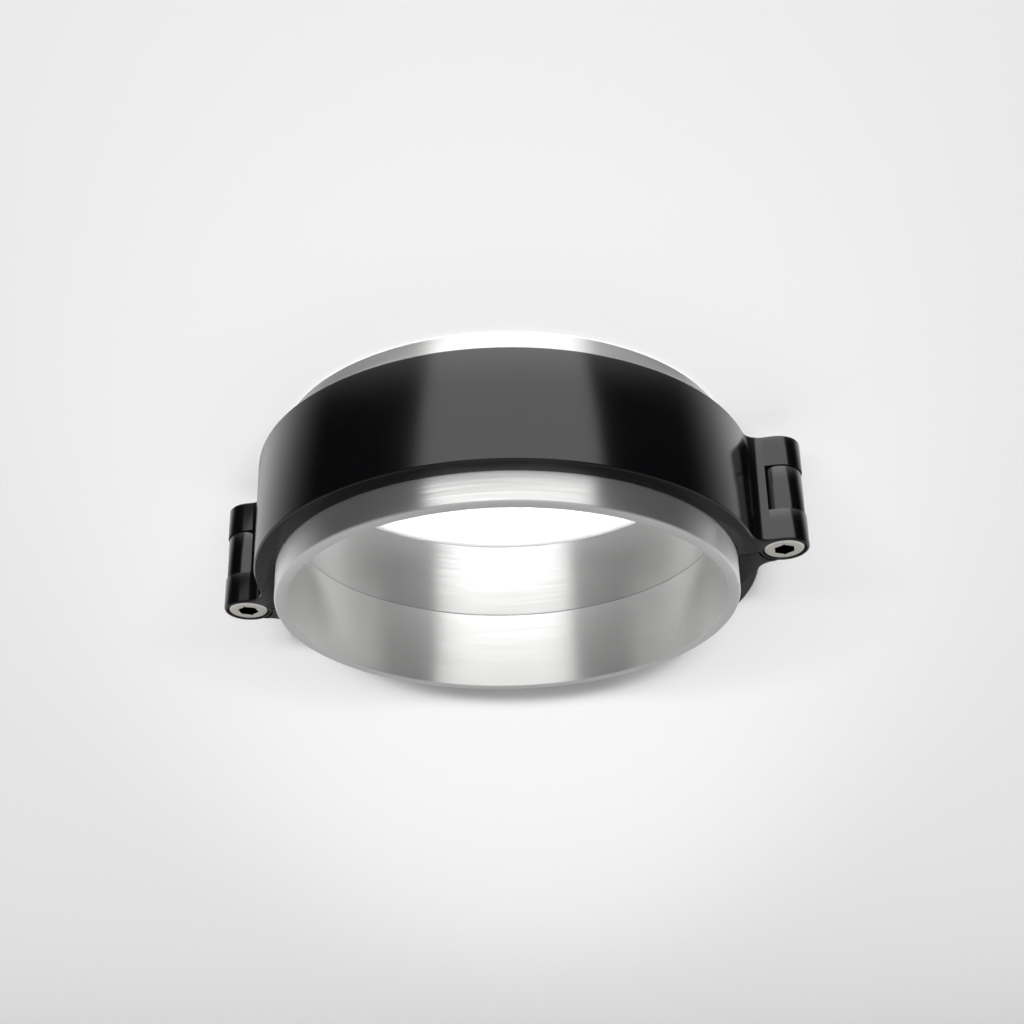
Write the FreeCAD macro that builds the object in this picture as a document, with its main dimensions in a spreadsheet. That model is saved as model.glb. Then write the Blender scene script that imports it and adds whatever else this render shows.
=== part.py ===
import FreeCAD, Part
import math
import os
import Sketcher

# Bolted two-piece clamp that joins two welded-on pipe ends, with two ring
# seals under a loose sleeve. The ring axis is Z, the two lugs lie on X, and
# the joint stands on the end of the lower pipe end at Z = 0.

os.makedirs("parts", exist_ok=True)
doc = FreeCAD.newDocument("intercooler_clamp")

# Driving dimensions in millimetres
DRIVING_SIZES = [
    ("tube_outer_r", 50.8, "outside radius of a four inch pipe end"),
    ("tube_wall", 2.7, "wall of a pipe end"),
    ("ferrule_length", 19.05, "length of one pipe end, seam to weld face"),
    ("seam_gap", 0.1, "gap between the two pipe ends"),
    ("edge_break", 0.3, "chamfer round the outer rim of a pipe end"),
    ("bead_height", 1.2, "height of the seal lands over the tube"),
    ("bead_width", 1.8, "width of the shoulder that the clamp holds"),
    ("groove_width", 3.6, "width of the seal groove"),
    ("groove_depth", 2.0, "depth of the seal groove below the lands"),
    ("seal_cord", 2.62, "cord diameter of a free seal"),
    ("seal_play", 0.02, "gap left between a seal and the sleeve"),
    ("sleeve_play", 0.05, "radial gap between the sleeve and the lands"),
    ("sleeve_wall", 1.35, "wall of the sleeve"),
    ("sleeve_end_play", 0.3, "gap between a sleeve end and a clamp lip"),
    ("band_play", 0.3, "radial gap between the sleeve and the clamp"),
    ("band_wall", 1.7, "wall of the clamp between its lips"),
    ("band_width", 25.2, "width of the clamp along the ring axis"),
    ("band_edge", 0.35, "chamfer on the outer edges of the clamp"),
    ("lip_width", 2.85, "width of one clamp lip"),
    ("lip_play", 0.15, "end gap between a lip and a shoulder"),
    ("lip_gap", 0.4, "radial gap between a lip and the tube"),
    ("split_gap", 0.3, "gap between the two clamp halves"),
    ("pin_reach", 5.5, "screw axis beyond the outside of the clamp"),
    ("ear_r", 5.4, "radius of an ear round its screw"),
    ("tongue_r", 5.15, "radius of a tongue round its screw"),
    ("lug_fillet", 4.2, "fillet between a lug and the clamp"),
    ("slot_height", 10.6, "height of the slot between two ears"),
    ("tongue_play", 0.1, "gap above and below a tongue"),
    ("slot_gap", 0.75, "gap between a tongue and the end of its slot"),
    ("ear_gap", 0.12, "gap between an ear and the rear half's hollow"),
    ("tip_land", 0.4, "flat of the rear half's lug beyond its fillet"),
    ("shank_d", 5.0, "screw thread diameter"),
    ("hole_play", 0.05, "radial gap round a screw"),
    ("head_d", 8.7, "screw head diameter"),
    ("head_height", 5.0, "screw head height"),
    ("head_gap", 0.25, "radial gap round a screw head"),
    ("head_recess", 0.1, "screw head below the end face"),
    ("head_edge", 0.3, "chamfer on a screw head"),
    ("tip_edge", 0.5, "chamfer on a screw tip"),
    ("tip_inset", 0.1, "screw tip above the lower end face"),
    ("socket_across", 4.0, "socket width across its flats"),
    ("socket_depth", 2.6, "depth of the socket"),
]

sizes = doc.addObject("Spreadsheet::Sheet", "Sizes")
for row, (alias, size, meaning) in enumerate(DRIVING_SIZES, start=1):
    sizes.set(f"A{row}", alias)
    sizes.set(f"B{row}", str(size))
    sizes.set(f"C{row}", meaning)
    sizes.setAlias(f"B{row}", alias)
doc.recompute()

# Sizes that follow from the driving dimensions, as formulas on the sheet
mid_height = "Sizes.ferrule_length"
bore_r = "(Sizes.tube_outer_r - Sizes.tube_wall)"
bead_r = "(Sizes.tube_outer_r + Sizes.bead_height)"
groove_r = f"({bead_r} - Sizes.groove_depth)"
sleeve_inner_r = f"({bead_r} + Sizes.sleeve_play)"
sleeve_outer_r = f"({sleeve_inner_r} + Sizes.sleeve_wall)"
cavity_r = f"({sleeve_outer_r} + Sizes.band_play)"
band_r = f"({cavity_r} + Sizes.band_wall)"
lip_r = "(Sizes.tube_outer_r + Sizes.lip_gap)"
band_half = "(Sizes.band_width / 2)"
cavity_half = f"({band_half} - Sizes.lip_width)"
sleeve_half = f"({cavity_half} - Sizes.sleeve_end_play)"
shoulder = f"({cavity_half} - Sizes.lip_play)"
groove_top = f"({shoulder} - Sizes.bead_width)"
groove_bottom = f"({groove_top} - Sizes.groove_width)"
seam = "(Sizes.seam_gap / 2)"
half_split = "(Sizes.split_gap / 2)"
pin_x = f"({band_r} + Sizes.pin_reach)"
root_r = f"(({band_r} + {cavity_r}) / 2)"
tongue_height = "(Sizes.slot_height - 2 * Sizes.tongue_play)"
slot_r = "(Sizes.tongue_r + Sizes.slot_gap)"
relief_r = "(Sizes.ear_r + Sizes.ear_gap)"
hole_r = "(Sizes.shank_d / 2 + Sizes.hole_play)"
counterbore_r = "(Sizes.head_d / 2 + Sizes.head_gap)"
counterbore_depth = "(Sizes.head_height + Sizes.head_recess)"
screw_length = f"(Sizes.band_width - {counterbore_depth} - Sizes.tip_inset)"
right_through = "(2 * Sizes.band_width)"

# How far a point may lie from a plane or a radius and still count as on it
TOLERANCE = 1e-4


def number(formula):
    """The value of a formula on the sheet."""
    return float(sizes.evalExpression(formula))


def start_body(label):
    """An empty body whose middle plane is the middle of the joint."""
    body = doc.addObject("PartDesign::Body", label)
    body.Label = label
    body.setExpression("Placement.Base.z", mid_height)
    return body


def turn_over(body):
    """Turn a body upside down about the middle of the joint."""
    body.Placement.Rotation = FreeCAD.Rotation(FreeCAD.Vector(1, 0, 0), 180)


def start_sketch(body, name, plane, height=None):
    """A sketch on one of the body's own planes, raised where a height is given."""
    sketch = body.newObject("Sketcher::SketchObject", name)
    for feature in body.Origin.OriginFeatures:
        if feature.Role == plane:
            sketch.AttachmentSupport = (feature, "")
    sketch.MapMode = "FlatFace"
    if height:
        sketch.setExpression("AttachmentOffset.Base.z", height)
    return sketch


def hold(sketch, edge, point, direction, formula):
    """Keep a point's distance from the sketch's centre equal to a formula."""
    if formula == "0":
        axis = -2 if direction == "DistanceX" else -1
        sketch.addConstraint(Sketcher.Constraint("PointOnObject", edge, point, axis))
        return
    rule = Sketcher.Constraint(direction, -1, 1, edge, point, number(formula))
    index = sketch.addConstraint(rule)
    sketch.setExpression(f"Constraints[{index}]", formula)


def line_to(x, y):
    """A straight edge that ends at a corner."""
    return {"end": (x, y), "centre": None}


def arc_to(x, y, centre_x, centre_y, left_turn):
    """A round edge that ends at a corner and turns left or right on its way."""
    return {"end": (x, y), "centre": (centre_x, centre_y), "left": left_turn}


def draw_outline(sketch, edges):
    """A closed outline, each edge running from the end of the one before it."""
    start_x, start_y = (number(formula) for formula in edges[-1]["end"])
    ends = []
    for edge in edges:
        end_x, end_y = (number(formula) for formula in edge["end"])
        start = FreeCAD.Vector(start_x, start_y, 0)
        end = FreeCAD.Vector(end_x, end_y, 0)
        if edge["centre"] is None:
            index = sketch.addGeometry(Part.LineSegment(start, end), False)
            ends.append((index, 1, 2))
        else:
            centre = FreeCAD.Vector(*(number(formula) for formula in edge["centre"]), 0)
            first, last = (start, end) if edge["left"] else (end, start)
            first_angle = math.atan2(first.y - centre.y, first.x - centre.x)
            last_angle = math.atan2(last.y - centre.y, last.x - centre.x)
            circle = Part.Circle(centre, FreeCAD.Vector(0, 0, 1), (start - centre).Length)
            index = sketch.addGeometry(Part.ArcOfCircle(circle, first_angle, last_angle), False)
            ends.append((index, 1, 2) if edge["left"] else (index, 2, 1))
        start_x, start_y = end_x, end_y
    for place, edge in enumerate(edges):
        index, first_point, last_point = ends[place]
        before, _, before_last = ends[place - 1]
        joined = Sketcher.Constraint("Coincident", before, before_last, index, first_point)
        sketch.addConstraint(joined)
        held = ["DistanceX", "DistanceY"]
        if edge["centre"] is not None:
            hold(sketch, index, 3, "DistanceX", edge["centre"][0])
            hold(sketch, index, 3, "DistanceY", edge["centre"][1])
            across = abs(number(edge["end"][0]) - number(edge["centre"][0]))
            along = abs(number(edge["end"][1]) - number(edge["centre"][1]))
            held = ["DistanceY"] if across > along else ["DistanceX"]
        for direction, formula in zip(("DistanceX", "DistanceY"), edge["end"]):
            if direction in held:
                hold(sketch, index, last_point, direction, formula)


def draw_circle(sketch, x, radius):
    """A circle centred on the sketch's first axis."""
    centre = FreeCAD.Vector(number(x), 0, 0)
    circle = Part.Circle(centre, FreeCAD.Vector(0, 0, 1), number(radius))
    index = sketch.addGeometry(circle, False)
    hold(sketch, index, 3, "DistanceX", x)
    hold(sketch, index, 3, "DistanceY", "0")
    rule = sketch.addConstraint(Sketcher.Constraint("Radius", index, number(radius)))
    sketch.setExpression(f"Constraints[{rule}]", radius)


def turn(body, name, edges, angle=360, reverse=False):
    """A turned solid: a section swept round the ring axis."""
    sketch = start_sketch(body, name + "_section", "XZ_Plane")
    draw_outline(sketch, edges)
    feature = body.newObject("PartDesign::Revolution", name)
    feature.Profile = sketch
    feature.ReferenceAxis = (sketch, ["V_Axis"])
    feature.Angle = angle
    feature.Reversed = reverse
    doc.recompute()


def pad(body, name, edges, height):
    """Material added on both sides of the middle plane."""
    sketch = start_sketch(body, name + "_outline", "XY_Plane")
    draw_outline(sketch, edges)
    feature = body.newObject("PartDesign::Pad", name)
    feature.Profile = sketch
    feature.Midplane = True
    feature.setExpression("Length", height)
    doc.recompute()
    return feature


def pocket(body, name, sketch, depth, both_ways):
    """A cut whose depth runs down from its sketch, or both ways from it."""
    volume_before = body.Shape.Volume
    feature = body.newObject("PartDesign::Pocket", name)
    feature.Profile = sketch
    feature.Midplane = both_ways
    feature.setExpression("Length", depth)
    doc.recompute()
    if body.Shape.Volume >= volume_before:
        raise RuntimeError(name + " removes nothing")
    return feature


def mirror_lug(body, name, features):
    """The same features on the second lug, mirrored across the ring."""
    mirrored = body.newObject("PartDesign::Mirrored", name)
    mirrored.Originals = features
    for feature in body.Origin.OriginFeatures:
        if feature.Role == "YZ_Plane":
            mirrored.MirrorPlane = (feature, [""])
    body.Tip = mirrored
    doc.recompute()


# Pipe end: one turned piece with a plain tube to weld to, a shoulder that the
# clamp's lip holds, a seal groove, and a land that meets the other pipe end.
def make_ferrule(label, upper):
    body = start_body(label)
    turn(body, label + "_turned", [
        line_to(bore_r, seam),
        line_to(bead_r, seam),
        line_to(bead_r, groove_bottom),
        line_to(groove_r, groove_bottom),
        line_to(groove_r, groove_top),
        line_to(bead_r, groove_top),
        line_to(bead_r, shoulder),
        line_to("Sizes.tube_outer_r", shoulder),
        line_to("Sizes.tube_outer_r", "Sizes.ferrule_length - Sizes.edge_break"),
        line_to("Sizes.tube_outer_r - Sizes.edge_break", "Sizes.ferrule_length"),
        line_to(bore_r, "Sizes.ferrule_length"),
    ])
    if not upper:
        turn_over(body)
    return body


# Seal: a rubber ring squeezed flat between the groove and the sleeve. Its section
# is drawn as the rectangle that holds as much rubber as the round cord.
def make_seal(label, upper):
    outer = f"({sleeve_inner_r} - Sizes.seal_play)"
    height = f"({outer} - {groove_r})"
    width = f"(pi / 4 * Sizes.seal_cord ^ 2 / {height})"
    middle = f"(({groove_top} + {groove_bottom}) / 2)"
    body = start_body(label)
    turn(body, label + "_ring", [
        line_to(groove_r, f"{middle} - {width} / 2"),
        line_to(outer, f"{middle} - {width} / 2"),
        line_to(outer, f"{middle} + {width} / 2"),
        line_to(groove_r, f"{middle} + {width} / 2"),
    ])
    if not upper:
        turn_over(body)
    return body


# Sleeve: a plain turned tube that bridges the two pipe ends over their seals.
def make_sleeve(label):
    body = start_body(label)
    turn(body, label + "_turned", [
        line_to(sleeve_inner_r, f"-{sleeve_half}"),
        line_to(sleeve_outer_r, f"-{sleeve_half}"),
        line_to(sleeve_outer_r, sleeve_half),
        line_to(sleeve_inner_r, sleeve_half),
    ])
    return body


def turn_channel(body, side):
    """Half of the clamp's ring: a wall with an inward lip along each edge."""
    turn(body, body.Label + "_channel", [
        line_to(lip_r, f"-{band_half}"),
        line_to(band_r, f"-{band_half}"),
        line_to(band_r, band_half),
        line_to(lip_r, band_half),
        line_to(lip_r, cavity_half),
        line_to(cavity_r, cavity_half),
        line_to(cavity_r, f"-{cavity_half}"),
        line_to(lip_r, f"-{cavity_half}"),
    ], angle=180, reverse=side < 0)
    reach = f"({band_r} + Sizes.band_wall)"
    sketch = start_sketch(body, body.Label + "_split_outline", "XY_Plane")
    draw_outline(sketch, [
        line_to(f"-{reach}", f"-{half_split}"),
        line_to(reach, f"-{half_split}"),
        line_to(reach, half_split),
        line_to(f"-{reach}", half_split),
    ])
    pocket(body, body.Label + "_split", sketch, right_through, True)


def lug_corners(side):
    """The points where the flat of a lug, its fillet and the clamp's wall meet."""
    fillet_y = "(Sizes.ear_r + Sizes.lug_fillet)"
    fillet_reach = f"({band_r} + Sizes.lug_fillet)"
    fillet_x = f"sqrt({fillet_reach} ^ 2 - {fillet_y} ^ 2)"
    sign = "-" if side < 0 else ""
    return {
        "fillet": (fillet_x, f"{sign}{fillet_y}"),
        "flat": (fillet_x, f"{sign}Sizes.ear_r"),
        "wall": (f"{band_r} / {fillet_reach} * {fillet_x}",
                 f"{sign}{band_r} / {fillet_reach} * {fillet_y}"),
        "root": (f"{root_r} / {fillet_reach} * {fillet_x}",
                 f"{sign}{root_r} / {fillet_reach} * {fillet_y}"),
        "split": (root_r, f"{sign}{half_split}"),
    }


def break_edges(body, name):
    """Chamfer the outer edges of both end faces, round the lugs too."""
    base = body.Tip
    inside_r = number(root_r) - TOLERANCE
    end_height = number(band_half)
    split_y = number(half_split) + TOLERANCE
    names = []
    for place, edge in enumerate(base.Shape.Edges, start=1):
        points = edge.discretize(5)
        level = all(abs(abs(point.z) - end_height) < TOLERANCE for point in points)
        outside = all(math.hypot(point.x, point.y) > inside_r for point in points)
        on_split = all(abs(point.y) < split_y for point in points)
        square_end = all(abs(point.x - points[0].x) < TOLERANCE for point in points)
        if level and outside and not on_split and not square_end:
            names.append(f"Edge{place}")
    feature = body.newObject("PartDesign::Chamfer", name)
    feature.Base = (base, names)
    feature.setExpression("Size", "Sizes.band_edge")
    doc.recompute()


# Front half of the clamp: it carries a pair of ears at each end, with a slot
# between them for the rear half's tongue, and the screws pass through both.
def make_front_half(label):
    body = start_body(label)
    turn_channel(body, -1)
    corner = lug_corners(-1)
    ear_start = f"({pin_x} - sqrt(Sizes.ear_r ^ 2 - {half_split} ^ 2))"
    ears = pad(body, label + "_ears", [
        line_to(*corner["split"]),
        line_to(ear_start, f"-{half_split}"),
        arc_to(pin_x, "-Sizes.ear_r", pin_x, "0", False),
        line_to(*corner["flat"]),
        arc_to(*corner["wall"], *corner["fillet"], True),
        line_to(*corner["root"]),
    ], "Sizes.band_width")
    mirror_lug(body, label + "_both_ears", [ears])
    break_edges(body, label + "_edges")
    slot_outer = f"({pin_x} + {slot_r})"
    sketch = start_sketch(body, label + "_slot_outline", "XY_Plane")
    draw_outline(sketch, [
        line_to(slot_outer, f"-{slot_r}"),
        line_to(slot_outer, slot_r),
        line_to(pin_x, slot_r),
        arc_to(pin_x, f"-{slot_r}", pin_x, "0", True),
    ])
    slot = pocket(body, label + "_slot", sketch, "Sizes.slot_height", True)
    sketch = start_sketch(body, label + "_hole_outline", "XY_Plane")
    draw_circle(sketch, pin_x, hole_r)
    hole = pocket(body, label + "_hole", sketch, right_through, True)
    sketch = start_sketch(body, label + "_counterbore_outline", "XY_Plane", band_half)
    draw_circle(sketch, pin_x, counterbore_r)
    counterbore = pocket(body, label + "_counterbore", sketch, counterbore_depth, False)
    mirror_lug(body, label + "_both_cuts", [slot, hole, counterbore])
    return body


# Rear half of the clamp: at each end it is hollowed round the ears, and a
# tongue between them reaches round the screw.
def make_rear_half(label):
    body = start_body(label)
    turn_channel(body, 1)
    corner = lug_corners(1)
    tip_x = f"({corner['flat'][0]} + Sizes.tip_land)"
    shell = pad(body, label + "_shell", [
        line_to(*corner["split"]),
        line_to(*corner["root"]),
        line_to(*corner["wall"]),
        arc_to(*corner["flat"], *corner["fillet"], True),
        line_to(tip_x, "Sizes.ear_r"),
        line_to(tip_x, half_split),
    ], "Sizes.band_width")
    mirror_lug(body, label + "_both_shells", [shell])
    break_edges(body, label + "_edges")
    sketch = start_sketch(body, label + "_hollow_outline", "XY_Plane")
    draw_circle(sketch, pin_x, relief_r)
    hollow = pocket(body, label + "_hollow", sketch, right_through, True)
    tongue_start = f"({pin_x} - sqrt(Sizes.tongue_r ^ 2 - {half_split} ^ 2))"
    tongue = pad(body, label + "_tongue", [
        line_to(*corner["root"]),
        line_to(*corner["split"]),
        line_to(tongue_start, half_split),
        arc_to(pin_x, "Sizes.tongue_r", pin_x, "0", True),
        line_to(corner["flat"][0], "Sizes.tongue_r"),
    ], tongue_height)
    sketch = start_sketch(body, label + "_hole_outline", "XY_Plane")
    draw_circle(sketch, pin_x, hole_r)
    hole = pocket(body, label + "_hole", sketch, right_through, True)
    mirror_lug(body, label + "_both_tongues", [hollow, tongue, hole])
    return body


# Screw: a cap screw with a hexagon socket, its head sunk in the upper ear and
# its thread in the lower one. The thread is drawn as its plain outer diameter.
def make_screw(label, side):
    body = start_body(label)
    sign = "-" if side < 0 else ""
    body.setExpression("Placement.Base.x", f"{sign}{pin_x}")
    head_top = f"({band_half} - Sizes.head_recess)"
    head_base = f"({head_top} - Sizes.head_height)"
    tip = f"({head_base} - {screw_length})"
    turn(body, label + "_turned", [
        line_to("0", tip),
        line_to("Sizes.shank_d / 2 - Sizes.tip_edge", tip),
        line_to("Sizes.shank_d / 2", f"{tip} + Sizes.tip_edge"),
        line_to("Sizes.shank_d / 2", head_base),
        line_to("Sizes.head_d / 2", head_base),
        line_to("Sizes.head_d / 2", f"{head_top} - Sizes.head_edge"),
        line_to("Sizes.head_d / 2 - Sizes.head_edge", head_top),
        line_to("0", head_top),
    ])
    sketch = start_sketch(body, label + "_socket_outline", "XY_Plane", head_top)
    half_flat = "(Sizes.socket_across / 2)"
    corner_r = f"({half_flat} / cos(30 deg))"
    draw_outline(sketch, [
        line_to(corner_r, "0"),
        line_to(f"{corner_r} / 2", half_flat),
        line_to(f"-{corner_r} / 2", half_flat),
        line_to(f"-{corner_r}", "0"),
        line_to(f"-{corner_r} / 2", f"-{half_flat}"),
        line_to(f"{corner_r} / 2", f"-{half_flat}"),
    ])
    pocket(body, label + "_socket", sketch, "Sizes.socket_depth", False)
    return body


pieces = [
    make_ferrule("ferrule_lower", False),
    make_ferrule("ferrule_upper", True),
    make_seal("seal_lower", False),
    make_seal("seal_upper", True),
    make_sleeve("sleeve"),
    make_front_half("clamp_front"),
    make_rear_half("clamp_rear"),
    make_screw("hinge_screw", 1),
    make_screw("closing_screw", -1),
]
doc.recompute()

for item in doc.Objects:
    if "Invalid" in item.State or "Error" in item.State:
        raise RuntimeError(item.Label + " did not build")

for piece in pieces:
    shape = piece.Shape
    if shape.isNull() or not shape.isValid() or len(shape.Solids) != 1:
        raise RuntimeError(piece.Label + " is not one valid solid")
    shape.exportStep(f"parts/{piece.Label}.step")
    box = shape.BoundBox
    print(f"{piece.Label}: {shape.Volume:.1f} mm3,"
          f" X {box.XMin:.2f} to {box.XMax:.2f},"
          f" Y {box.YMin:.2f} to {box.YMax:.2f},"
          f" Z {box.ZMin:.2f} to {box.ZMax:.2f}")
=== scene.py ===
import math

import bmesh
import bpy
from mathutils import Matrix, Vector


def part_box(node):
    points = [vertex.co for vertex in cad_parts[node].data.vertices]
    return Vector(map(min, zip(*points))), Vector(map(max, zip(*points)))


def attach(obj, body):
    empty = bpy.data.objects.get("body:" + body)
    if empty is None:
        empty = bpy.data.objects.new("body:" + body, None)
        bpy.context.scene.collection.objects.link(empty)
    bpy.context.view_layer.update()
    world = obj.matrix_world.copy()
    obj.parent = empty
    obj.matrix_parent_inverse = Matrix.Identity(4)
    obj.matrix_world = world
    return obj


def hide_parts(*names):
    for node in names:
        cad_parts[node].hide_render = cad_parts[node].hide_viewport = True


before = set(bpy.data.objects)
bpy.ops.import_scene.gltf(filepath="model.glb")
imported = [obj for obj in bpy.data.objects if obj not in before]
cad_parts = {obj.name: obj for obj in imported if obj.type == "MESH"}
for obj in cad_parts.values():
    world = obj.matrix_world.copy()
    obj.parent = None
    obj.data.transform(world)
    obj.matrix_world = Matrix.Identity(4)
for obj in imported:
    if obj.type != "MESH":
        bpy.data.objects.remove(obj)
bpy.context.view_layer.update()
MM = 0.001

# Camera. The photograph looks down on the joint from the side of the screw heads
# and shows it upside down, so the camera is rolled by half a turn. The lens and
# the shift were found by fitting the edges of the rings and of the lugs.
VIEW_AZIMUTH = math.radians(-11.29)
VIEW_ELEVATION = math.radians(23.54)
VIEW_ROLL = math.radians(178.23)
JOINT_MIDDLE = Vector((0, 0, 19.05)) * MM
camera_data = bpy.data.cameras.new("camera")
camera_data.lens = 54.1
camera_data.sensor_width = 36
camera_data.shift_x = -0.0326
camera_data.shift_y = 0.0929
camera_data.clip_start = 1 * MM
camera = bpy.data.objects.new("camera", camera_data)
bpy.context.scene.collection.objects.link(camera)
turn_to_view = (
    Matrix.Rotation(VIEW_AZIMUTH, 4, "Z")
    @ Matrix.Rotation(math.radians(90) - VIEW_ELEVATION, 4, "X")
    @ Matrix.Rotation(VIEW_ROLL, 4, "Z")
)
step_back = Matrix.Translation(Vector((8.65, -17.21, 345.6)) * MM)
camera.matrix_world = Matrix.Translation(JOINT_MIDDLE) @ turn_to_view @ step_back
bpy.context.scene.camera = camera
bpy.context.scene.view_settings.view_transform = "Standard"


# Studio. A plain pale table, a tall soft box behind the camera, two dark flags at the
# sides and a softly lit wall at the back, which the metal reflects. The metal doesn't
# see the table itself, and the table is lit by the lamps alone.
def add_node(tree, kind, inputs=(), **settings):
    node = tree.nodes.new("ShaderNode" + kind)
    for name, setting in settings.items():
        setattr(node, name, setting)
    for socket, source in dict(inputs).items():
        if isinstance(source, bpy.types.NodeSocket):
            tree.links.new(source, node.inputs[socket])
        else:
            node.inputs[socket].default_value = source
    return node


def math_node(tree, operation, first, second=0.0, third=0.0):
    numbers = {0: first, 1: second, 2: third}
    return add_node(tree, "Math", numbers, operation=operation).outputs[0]


def ramp_node(tree, source, low, high, low_result=0.0, high_result=1.0):
    numbers = {"Value": source, "From Min": low, "From Max": high,
               "To Min": low_result, "To Max": high_result}
    return add_node(tree, "MapRange", numbers, interpolation_type="SMOOTHSTEP").outputs[0]


world = bpy.data.worlds.new("studio")
bpy.context.scene.world = world
world.use_nodes = True
world.cycles_visibility.diffuse = False
studio = world.node_tree
studio.nodes.clear()
direction = add_node(studio, "TexCoord").outputs["Generated"]
height = add_node(studio, "SeparateXYZ", {0: direction}).outputs["Z"]
front_axis = (math.sin(VIEW_AZIMUTH), -math.cos(VIEW_AZIMUTH), 0)
right_axis = (-math.cos(VIEW_AZIMUTH), -math.sin(VIEW_AZIMUTH), 0)
along_front, along_right = [
    add_node(studio, "VectorMath", {0: direction, 1: axis}, operation="DOT_PRODUCT").outputs["Value"]
    for axis in (front_axis, right_axis)
]
bearing = math_node(studio, "ARCTAN2", along_right, along_front)
BOX_BEARING = math.radians(3.5)
from_box = math_node(studio, "ABSOLUTE", math_node(studio, "SUBTRACT", bearing, BOX_BEARING))
from_front = math_node(studio, "ABSOLUTE", bearing)
front_box = ramp_node(studio, from_box, math.radians(36.0), math.radians(41.5), 1.0, 0.0)
back_rise = ramp_node(studio, from_front, math.radians(87), math.radians(137), 0.0, 0.9)
back_fall = ramp_node(studio, from_front, math.radians(140), math.radians(180), 0.0, 0.55)
box_light = ramp_node(studio, height, 0.20, 0.50, 1.45, 0.15)
back_light = ramp_node(studio, height, -0.2, 0.0, 1.0, 0.80)
back_wall = math_node(studio, "SUBTRACT", back_rise, back_fall)
behind = math_node(studio, "MULTIPLY", back_wall, back_light)
sides = math_node(studio, "MULTIPLY_ADD", front_box, box_light, behind)
above = ramp_node(studio, height, 0.60, 0.95, 0.0, 0.19)
below = ramp_node(studio, height, -0.58, -0.85, 0.0, 1.2)
bounce = math_node(studio, "ADD", above, below)
brightness = math_node(studio, "ADD", bounce, sides)
lit = add_node(studio, "Background", {"Color": (1, 1, 1, 1), "Strength": brightness})
WALL_GREY = (0.75, 0.75, 0.75, 1)
pale = add_node(studio, "Background", {"Color": WALL_GREY, "Strength": 1.0})
seen = add_node(studio, "LightPath").outputs["Is Camera Ray"]
mixed = add_node(studio, "MixShader", {0: seen, 1: lit.outputs[0], 2: pale.outputs[0]})
add_node(studio, "OutputWorld", {"Surface": mixed.outputs[0]})

FLOOR_HALF = 6.0
TABLE_GREY = (0.7, 0.7, 0.7, 1)
floor_mesh = bpy.data.meshes.new("floor")
floor_bm = bmesh.new()
bmesh.ops.create_grid(floor_bm, x_segments=1, y_segments=1, size=FLOOR_HALF)
floor_bm.to_mesh(floor_mesh)
floor_bm.free()
floor = bpy.data.objects.new("floor", floor_mesh)
bpy.context.scene.collection.objects.link(floor)
floor.visible_glossy = False
table = bpy.data.materials.new("table")
table.use_nodes = True
table.node_tree.nodes.clear()
matt = add_node(table.node_tree, "BsdfDiffuse", {"Color": TABLE_GREY})
add_node(table.node_tree, "OutputMaterial", {"Surface": matt.outputs[0]})
floor_mesh.materials.append(table)

# The key light and the wide strip beside it stand low behind the camera and throw
# the soft shadow behind the ring. The pool light makes the table brightest round the
# joint, the top light fills from above, and the spot shines down through the bore.
for name, kind, elevation, beyond, distance, width, depth, energy in [
    ("key_light", "AREA", 18.4, 0.0, 20.0, 3.4, 0.60, 5700.0),
    ("strip_light", "AREA", 18.6, 0.0, 20.0, 20.0, 0.60, 6700.0),
    ("top_light", "AREA", 100, 0.1, 0.9, 1.2, 1.2, 2.8),
    ("pool_light", "SPOT", 18.4, 0.2, 4.0, 0.10, 0.155, 420.0),
    ("bore_light", "SPOT", 90, 0.0, 1.2, 0.006, 0.0475, 120.0),
]:
    light_data = bpy.data.lights.new(name, kind)
    light_data.energy = energy
    if kind == "SPOT":
        light_data.shadow_soft_size = width / 2
        light_data.spot_size = 2 * math.atan(depth / distance)
        light_data.spot_blend = 0.06 if name == "bore_light" else 1.0
    else:
        light_data.shape = "RECTANGLE"
        light_data.size = width
        light_data.size_y = depth
    light = bpy.data.objects.new(name, light_data)
    bpy.context.scene.collection.objects.link(light)
    tilt = Matrix.Rotation(math.radians(90 - elevation), 4, "X")
    turned = Matrix.Rotation(VIEW_AZIMUTH, 4, "Z") @ Matrix.Translation((0, beyond, 0)) @ tilt
    light.matrix_world = turned @ Matrix.Translation((0, 0, distance))
    light.visible_glossy = False
    light.visible_camera = False


# Pipe ends. Each is turned from one piece of aluminium: a plain tube to weld to,
# then a shoulder for the clamp, a seal groove and a land. The lathe leaves fine
# rings all round, which draw every reflection out along the axis.
def ring_noise(tree, length, spacing, detail):
    """Noise in streaks round the axis, on walls and on end faces alike."""
    place = add_node(tree, "TexCoord").outputs["Object"]
    apart = add_node(tree, "SeparateXYZ", {0: place})
    x, y, z = apart.outputs
    y_squared = math_node(tree, "MULTIPLY", y, y)
    reach = math_node(tree, "SQRT", math_node(tree, "MULTIPLY_ADD", x, x, y_squared))
    across = math_node(tree, "MULTIPLY", math_node(tree, "ADD", reach, z), length / spacing)
    stretched = add_node(tree, "CombineXYZ", {0: x, 1: y, 2: across})
    return add_node(tree, "TexNoise", {"Vector": stretched.outputs[0], "Scale": 1 / length,
                                       "Detail": detail}).outputs["Fac"]


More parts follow.
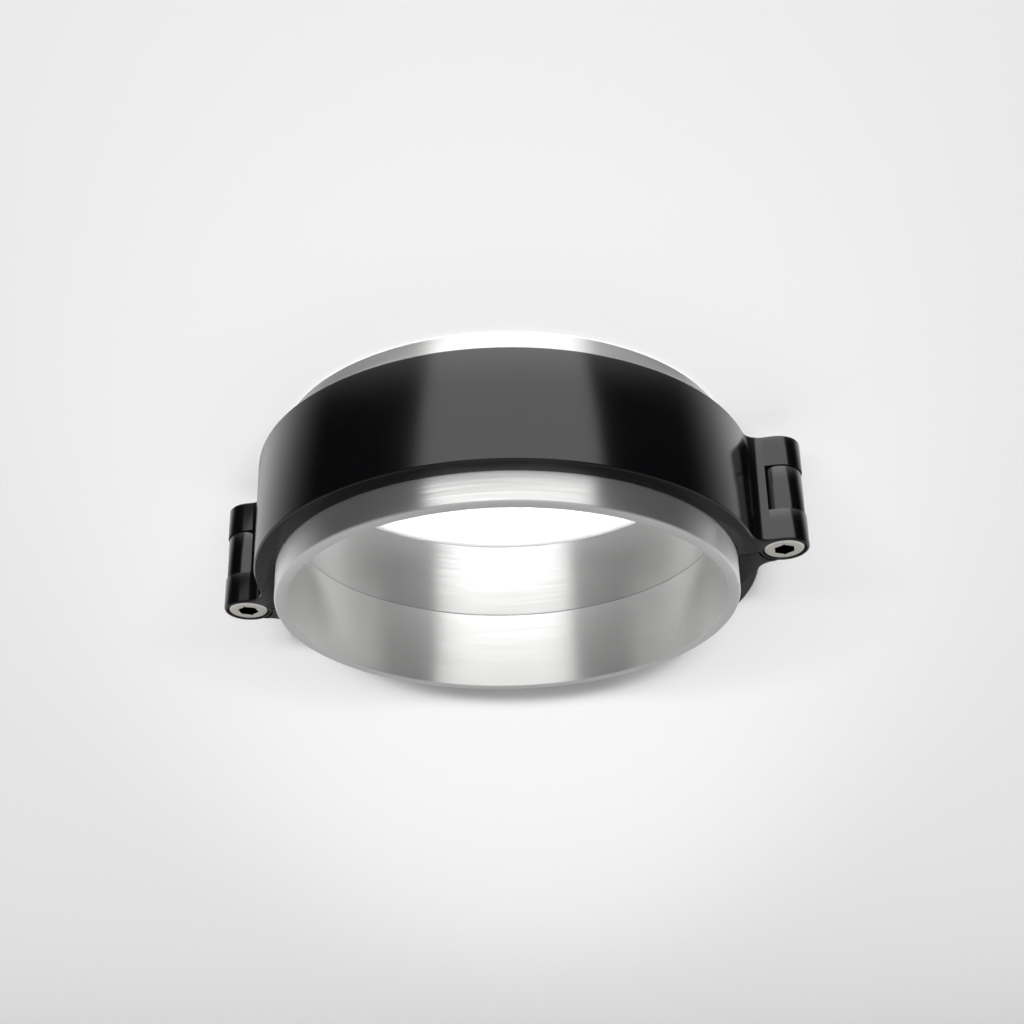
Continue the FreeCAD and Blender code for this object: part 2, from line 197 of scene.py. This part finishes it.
def turned_metal(name, colour, roughness, anisotropy):
    """Bare metal as the lathe leaves it: fine rings draw every reflection out
    along the axis, and a duller layer over them spreads some of it wide."""
    material = bpy.data.materials.new(name)
    material.use_nodes = True
    tree = material.node_tree
    tree.nodes.clear()
    corner = add_node(tree, "TexCoord")
    round_axis = add_node(tree, "VectorMath", {0: (0, 0, 1), 1: corner.outputs["Object"]},
                          operation="CROSS_PRODUCT")
    along = add_node(tree, "VectorMath", {0: round_axis.outputs[0]}, operation="NORMALIZE")
    across = add_node(tree, "VectorMath", {0: round_axis.outputs[0], 1: corner.outputs["Normal"]},
                      operation="CROSS_PRODUCT")
    tangent = add_node(tree, "VectorTransform", {0: across.outputs[0]}, vector_type="VECTOR",
                       convert_from="OBJECT", convert_to="WORLD")
    streaks = ring_noise(tree, 20 * MM, LATHE_FEED, 3.0)
    lean = ramp_node(tree, streaks, 0.2, 0.8, -STREAK_LEAN, STREAK_LEAN)
    grooves = ring_noise(tree, 40 * MM, LATHE_FEED, 4.0)
    dull = ramp_node(tree, streaks, 0.3, 0.7, roughness - 0.05, roughness + 0.05)
    aside = add_node(tree, "VectorMath", {0: along.outputs[0], "Scale": lean}, operation="SCALE")
    leaning = add_node(tree, "VectorMath", {0: corner.outputs["Normal"], 1: aside.outputs[0]})
    facing = add_node(tree, "VectorTransform", {0: leaning.outputs[0]}, vector_type="NORMAL",
                      convert_from="OBJECT", convert_to="WORLD")
    bump = add_node(tree, "Bump", {"Height": grooves, "Strength": 0.25, "Distance": 0.02 * MM,
                                   "Normal": facing.outputs[0]})
    surface = add_node(tree, "BsdfPrincipled", {
        "Base Color": (*colour, 1),
        "Metallic": 0.98,
        "Roughness": dull,
        "Anisotropic": anisotropy,
        "Tangent": tangent.outputs[0],
        "Normal": bump.outputs[0],
    })
    surface.inputs["Coat Weight"].default_value = 1.0
    surface.inputs["Coat Roughness"].default_value = 0.65
    surface.inputs["Coat IOR"].default_value = 2.3
    add_node(tree, "OutputMaterial", {"Surface": surface.outputs[0]})
    return material


def turned_ring(name, corners, rounding, rounding_steps=2):
    """A ring swept from a closed section of (radius, height) corners."""
    ring = bmesh.new()
    section = ring.faces.new([ring.verts.new((r, 0, z)) for r, z in corners])
    bmesh.ops.bevel(ring, geom=section.verts[:], offset=rounding, offset_type="OFFSET",
                    segments=rounding_steps, profile=0.5, affect="VERTICES", material=-1)
    bmesh.ops.delete(ring, geom=ring.faces[:], context="FACES_ONLY")
    bmesh.ops.spin(ring, geom=ring.verts[:] + ring.edges[:], cent=(0, 0, 0), axis=(0, 0, 1),
                   angle=math.tau, steps=RING_STEPS, use_merge=True)
    bmesh.ops.recalc_face_normals(ring, faces=ring.faces[:])
    return finished_piece(name, ring)


def finished_piece(name, shape):
    """The bmesh as an object in the scene, smooth but for its sharp edges."""
    for face in shape.faces:
        face.smooth = True
    for edge in shape.edges:
        edge.smooth = len(edge.link_faces) == 2 and edge.calc_face_angle(0) < SHARP
    mesh = bpy.data.meshes.new(name)
    shape.to_mesh(mesh)
    shape.free()
    piece = bpy.data.objects.new(name, mesh)
    bpy.context.scene.collection.objects.link(piece)
    return piece


LATHE_FEED = 0.22 * MM
STREAK_LEAN = 0.008
RING_STEPS = 384
SHARP = math.radians(35)
BORE_R = 48.1
TUBE_R = 50.8
LAND_R = 52.0
GROOVE_R = 50.0
WELD_FACE = 38.1
SEAM_FACE = 19.1
SEAM_EDGE = 0.12
RIM_EDGE = 0.3
CORNER_ROUNDING = 0.08
pipe_end_section = [
    (BORE_R, WELD_FACE),
    (TUBE_R - RIM_EDGE, WELD_FACE),
    (TUBE_R, WELD_FACE - RIM_EDGE),
    (TUBE_R, 28.65),
    (LAND_R, 28.65),
    (LAND_R, 26.85),
    (GROOVE_R, 26.85),
    (GROOVE_R, 23.25),
    (LAND_R, 23.25),
    (LAND_R, SEAM_FACE),
    (BORE_R + SEAM_EDGE, SEAM_FACE),
    (BORE_R, SEAM_FACE + SEAM_EDGE),
]
turned_aluminium = turned_metal("turned_aluminium", (0.92, 0.92, 0.91), 0.36, 1.0)
for name, node, body, upper in [
    ("pipe_end_upper", "ferrule_upper", "upper_end", True),
    ("pipe_end_lower", "ferrule_lower", "lower_end", False),
]:
    corners = [(r * MM, (z if upper else WELD_FACE - z) * MM) for r, z in pipe_end_section]
    pipe_end = turned_ring(name, corners, CORNER_ROUNDING * MM)
    pipe_end.data.materials.append(turned_aluminium)
    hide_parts(node)
    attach(pipe_end, body)

# Seals. Two rubber rings that the sleeve squeezes flat in their grooves, so the
# round cord has become wider than it is high.
rubber = bpy.data.materials.new("seal_rubber")
rubber.use_nodes = True
tree = rubber.node_tree
tree.nodes.clear()
speckle = add_node(tree, "TexNoise", {"Vector": add_node(tree, "TexCoord").outputs["Object"],
                                      "Scale": 2500.0, "Detail": 2.0}).outputs["Fac"]
dullness = add_node(tree, "MapRange", {"Value": speckle, "To Min": 0.42, "To Max": 0.60})
skin = add_node(tree, "Bump", {"Height": speckle, "Strength": 0.2, "Distance": 0.02 * MM})
surface = add_node(tree, "BsdfPrincipled", {
    "Base Color": (0.012, 0.012, 0.013, 1),
    "Roughness": dullness.outputs[0],
    "Normal": skin.outputs[0],
})
add_node(tree, "OutputMaterial", {"Surface": surface.outputs[0]})
SEAL_SIDE = 0.95
for name, node, body in [
    ("seal_ring_upper", "seal_upper", "upper_end"),
    ("seal_ring_lower", "seal_lower", "lower_end"),
]:
    low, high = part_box(node)
    inner = GROOVE_R * MM
    corners = [(inner, low.z), (high.x, low.z), (high.x, high.z), (inner, high.z)]
    seal = turned_ring(name, corners, SEAL_SIDE * MM, 6)
    seal.data.materials.append(rubber)
    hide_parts(node)
    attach(seal, body)

# Sleeve. A plain aluminium tube that bridges the two pipe ends over their seals,
# turned inside and out and broken at its edges.
low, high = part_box("sleeve")
SLEEVE_WALL = 1.35
SLEEVE_EDGE = 0.2
sleeve_inner = high.x - SLEEVE_WALL * MM
corners = [(sleeve_inner, low.z), (high.x, low.z), (high.x, high.z), (sleeve_inner, high.z)]
sleeve = turned_ring("bridging_sleeve", corners, SLEEVE_EDGE * MM)
sleeve.data.materials.append(turned_aluminium)
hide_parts("sleeve")
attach(sleeve, "lower_end")


# Clamp halves. Each is cut from solid aluminium: a channel that grips both
# shoulders, with ears or tongues at its ends, then blasted lightly and anodised
# black. Every edge is broken by hand.
def anodised(name, roughness, ior):
    """Satin black anodising over fine turning lines."""
    material = bpy.data.materials.new(name)
    material.use_nodes = True
    tree = material.node_tree
    tree.nodes.clear()
    place = add_node(tree, "TexCoord").outputs["Object"]
    grain, cloud = [
        add_node(tree, "TexNoise", {"Vector": place, "Scale": scale, "Detail": 2.0}).outputs["Fac"]
        for scale in (3000.0, 60.0)
    ]
    dull = ramp_node(tree, cloud, 0.3, 0.7, roughness - 0.02, roughness + 0.02)
    relief = math_node(tree, "MULTIPLY_ADD", grain, 0.3, ring_noise(tree, 30 * MM, 0.5 * MM, 3.0))
    bump = add_node(tree, "Bump", {"Height": relief, "Strength": 0.12, "Distance": 0.01 * MM})
    surface = add_node(tree, "BsdfPrincipled", {
        "Base Color": (0.0010, 0.0010, 0.0012, 1),
        "Metallic": 0.0,
        "Roughness": dull,
        "Normal": bump.outputs[0],
    })
    surface.inputs["IOR"].default_value = ior
    add_node(tree, "OutputMaterial", {"Surface": surface.outputs[0]})
    return material


EDGE_ROUNDING = 0.08 * MM
BROKEN_EDGE = math.radians(25)
anodised_walls = anodised("black_anodised", 0.18, 1.7)
anodised_faces = anodised("black_anodised_faced", 0.30, 1.30)
for name, node, body in [
    ("clamp_half_with_ears", "clamp_front", "front_half"),
    ("clamp_half_with_tongues", "clamp_rear", "rear_half"),
]:
    half = bmesh.new()
    half.from_mesh(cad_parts[node].data)
    bmesh.ops.remove_doubles(half, verts=half.verts[:], dist=0.001 * MM)
    bmesh.ops.dissolve_limit(half, angle_limit=math.radians(0.5), verts=half.verts[:],
                             edges=half.edges[:])
    corners = [e for e in half.edges if e.calc_face_angle(0) > BROKEN_EDGE]
    bmesh.ops.bevel(half, geom=corners, offset=EDGE_ROUNDING, offset_type="OFFSET", segments=2,
                    profile=0.5, affect="EDGES", material=-1, clamp_overlap=True)
    half.normal_update()
    for face in half.faces:
        face.material_index = 1 if abs(face.normal.z) > 0.9 else 0
    piece = finished_piece(name, half)
    piece.data.materials.append(anodised_walls)
    piece.data.materials.append(anodised_faces)
    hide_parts(node)
    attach(piece, body)

# Screws. Plain stainless cap screws with a hexagon socket and a knurled head,
# sunk in the upper ears and screwed into the lower ones.
SCREW_R = 2.5
ROOT_R = 2.0
PITCH = 0.8
HEAD_R = 4.35
HEAD_HEIGHT = 5.0
SOCKET_ACROSS = 4.1
SOCKET_DEPTH = 2.6
SOCKET_MOUTH_R = 2.9
DRILL_CONE = 0.6
KNURL = 0.982
SCREW_STEPS = 96
THREAD_STEPS = 36
stainless = bpy.data.materials.new("stainless_screw")
stainless.use_nodes = True
tree = stainless.node_tree
tree.nodes.clear()
speckle = add_node(tree, "TexNoise", {"Vector": add_node(tree, "TexCoord").outputs["Object"],
                                      "Scale": 1500.0, "Detail": 3.0}).outputs["Fac"]
dullness = add_node(tree, "MapRange", {"Value": speckle, "To Min": 0.30, "To Max": 0.46})
skin = add_node(tree, "Bump", {"Height": speckle, "Strength": 0.15, "Distance": 0.02 * MM})
surface = add_node(tree, "BsdfPrincipled", {
    "Base Color": (0.60, 0.58, 0.54, 1),
    "Metallic": 0.8,
    "Roughness": dullness.outputs[0],
    "Normal": skin.outputs[0],
})
add_node(tree, "OutputMaterial", {"Surface": surface.outputs[0]})
for name, node, body in [
    ("cap_screw_hinge", "hinge_screw", "front_half"),
    ("cap_screw_closing", "closing_screw", "screw_out"),
]:
    low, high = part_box(node)
    axis = (low.x + high.x) / 2
    top = high.z / MM
    under_head = top - HEAD_HEIGHT
    tip = low.z / MM
    screw = bmesh.new()
    outline = [
        (0, tip),
        (ROOT_R - 0.3, tip),
        (ROOT_R, tip + 0.3),
        (ROOT_R, under_head - 1.2),
        (SCREW_R, under_head - 0.9),
        (SCREW_R, under_head),
        (HEAD_R, under_head),
        (HEAD_R, top - 0.4),
        (HEAD_R - 0.08, top - 0.2),
        (HEAD_R - 0.28, top - 0.04),
        (HEAD_R - 0.5, top),
        (SOCKET_MOUTH_R, top),
    ]
    points = [screw.verts.new((r * MM, 0, z * MM)) for r, z in outline]
    for first, last in zip(points, points[1:]):
        screw.edges.new((first, last))
    bmesh.ops.spin(screw, geom=screw.verts[:] + screw.edges[:], cent=(0, 0, 0),
                   axis=(0, 0, 1), angle=math.tau, steps=SCREW_STEPS, use_merge=True)
    bmesh.ops.remove_doubles(screw, verts=screw.verts[:], dist=0.001 * MM)
    rim = [e for e in screw.edges if e.is_boundary]
    socket_corner_r = SOCKET_ACROSS / 2 / math.cos(math.pi / 6) * MM
    bmesh.ops.create_circle(screw, segments=6, radius=socket_corner_r,
                            matrix=Matrix.Translation((0, 0, top * MM)))
    hexagon = [e for e in screw.edges if e.is_wire]
    bmesh.ops.subdivide_edges(screw, edges=hexagon, cuts=SCREW_STEPS // 6 - 1)
    hexagon = [e for e in screw.edges if e.is_wire]
    bmesh.ops.bridge_loops(screw, edges=rim + hexagon)
    mouth = [e for e in screw.edges if e.is_boundary]
    grown = bmesh.ops.extrude_edge_only(screw, edges=mouth)["geom"]
    floor_verts = [v for v in grown if isinstance(v, bmesh.types.BMVert)]
    bmesh.ops.translate(screw, verts=floor_verts, vec=(0, 0, -SOCKET_DEPTH * MM))
    mouth = [e for e in grown if isinstance(e, bmesh.types.BMEdge) and e.is_boundary]
    grown = bmesh.ops.extrude_edge_only(screw, edges=mouth)["geom"]
    floor_verts = [v for v in grown if isinstance(v, bmesh.types.BMVert)]
    drill_tip = (0, 0, (top - SOCKET_DEPTH - DRILL_CONE) * MM)
    bmesh.ops.translate(screw, verts=floor_verts, vec=(0, 0, -DRILL_CONE * MM))
    bmesh.ops.pointmerge(screw, verts=floor_verts, merge_co=drill_tip)
    for vert in screw.verts:
        side = math.hypot(vert.co.x, vert.co.y) > (HEAD_R - 0.01) * MM
        turn = round(math.atan2(vert.co.y, vert.co.x) / math.tau * SCREW_STEPS)
        if side and turn % 2:
            vert.co.x *= KNURL
            vert.co.y *= KNURL
    bmesh.ops.recalc_face_normals(screw, faces=screw.faces[:])
    thread = bmesh.new()
    turns = int((under_head - 1.2 - tip) / PITCH) - 1
    ridge = [(ROOT_R - 0.1, 0), (ROOT_R - 0.1, 0.7), (SCREW_R, 0.40), (SCREW_R, 0.30)]
    start = tip + 0.35
    thread.faces.new([thread.verts.new((r * MM, 0, (start + z) * MM)) for r, z in ridge])
    bmesh.ops.spin(thread, geom=thread.verts[:] + thread.edges[:] + thread.faces[:],
                   cent=(0, 0, 0), axis=(0, 0, 1), dvec=(0, 0, PITCH / THREAD_STEPS * MM),
                   angle=math.tau * turns, steps=THREAD_STEPS * turns)
    bmesh.ops.recalc_face_normals(thread, faces=thread.faces[:])
    spare = bpy.data.meshes.new("thread")
    thread.to_mesh(spare)
    thread.free()
    screw.from_mesh(spare)
    bpy.data.meshes.remove(spare)
    bmesh.ops.translate(screw, verts=screw.verts[:], vec=(axis, 0, 0))
    piece = finished_piece(name, screw)
    piece.data.materials.append(stainless)
    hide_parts(node)
    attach(piece, body)
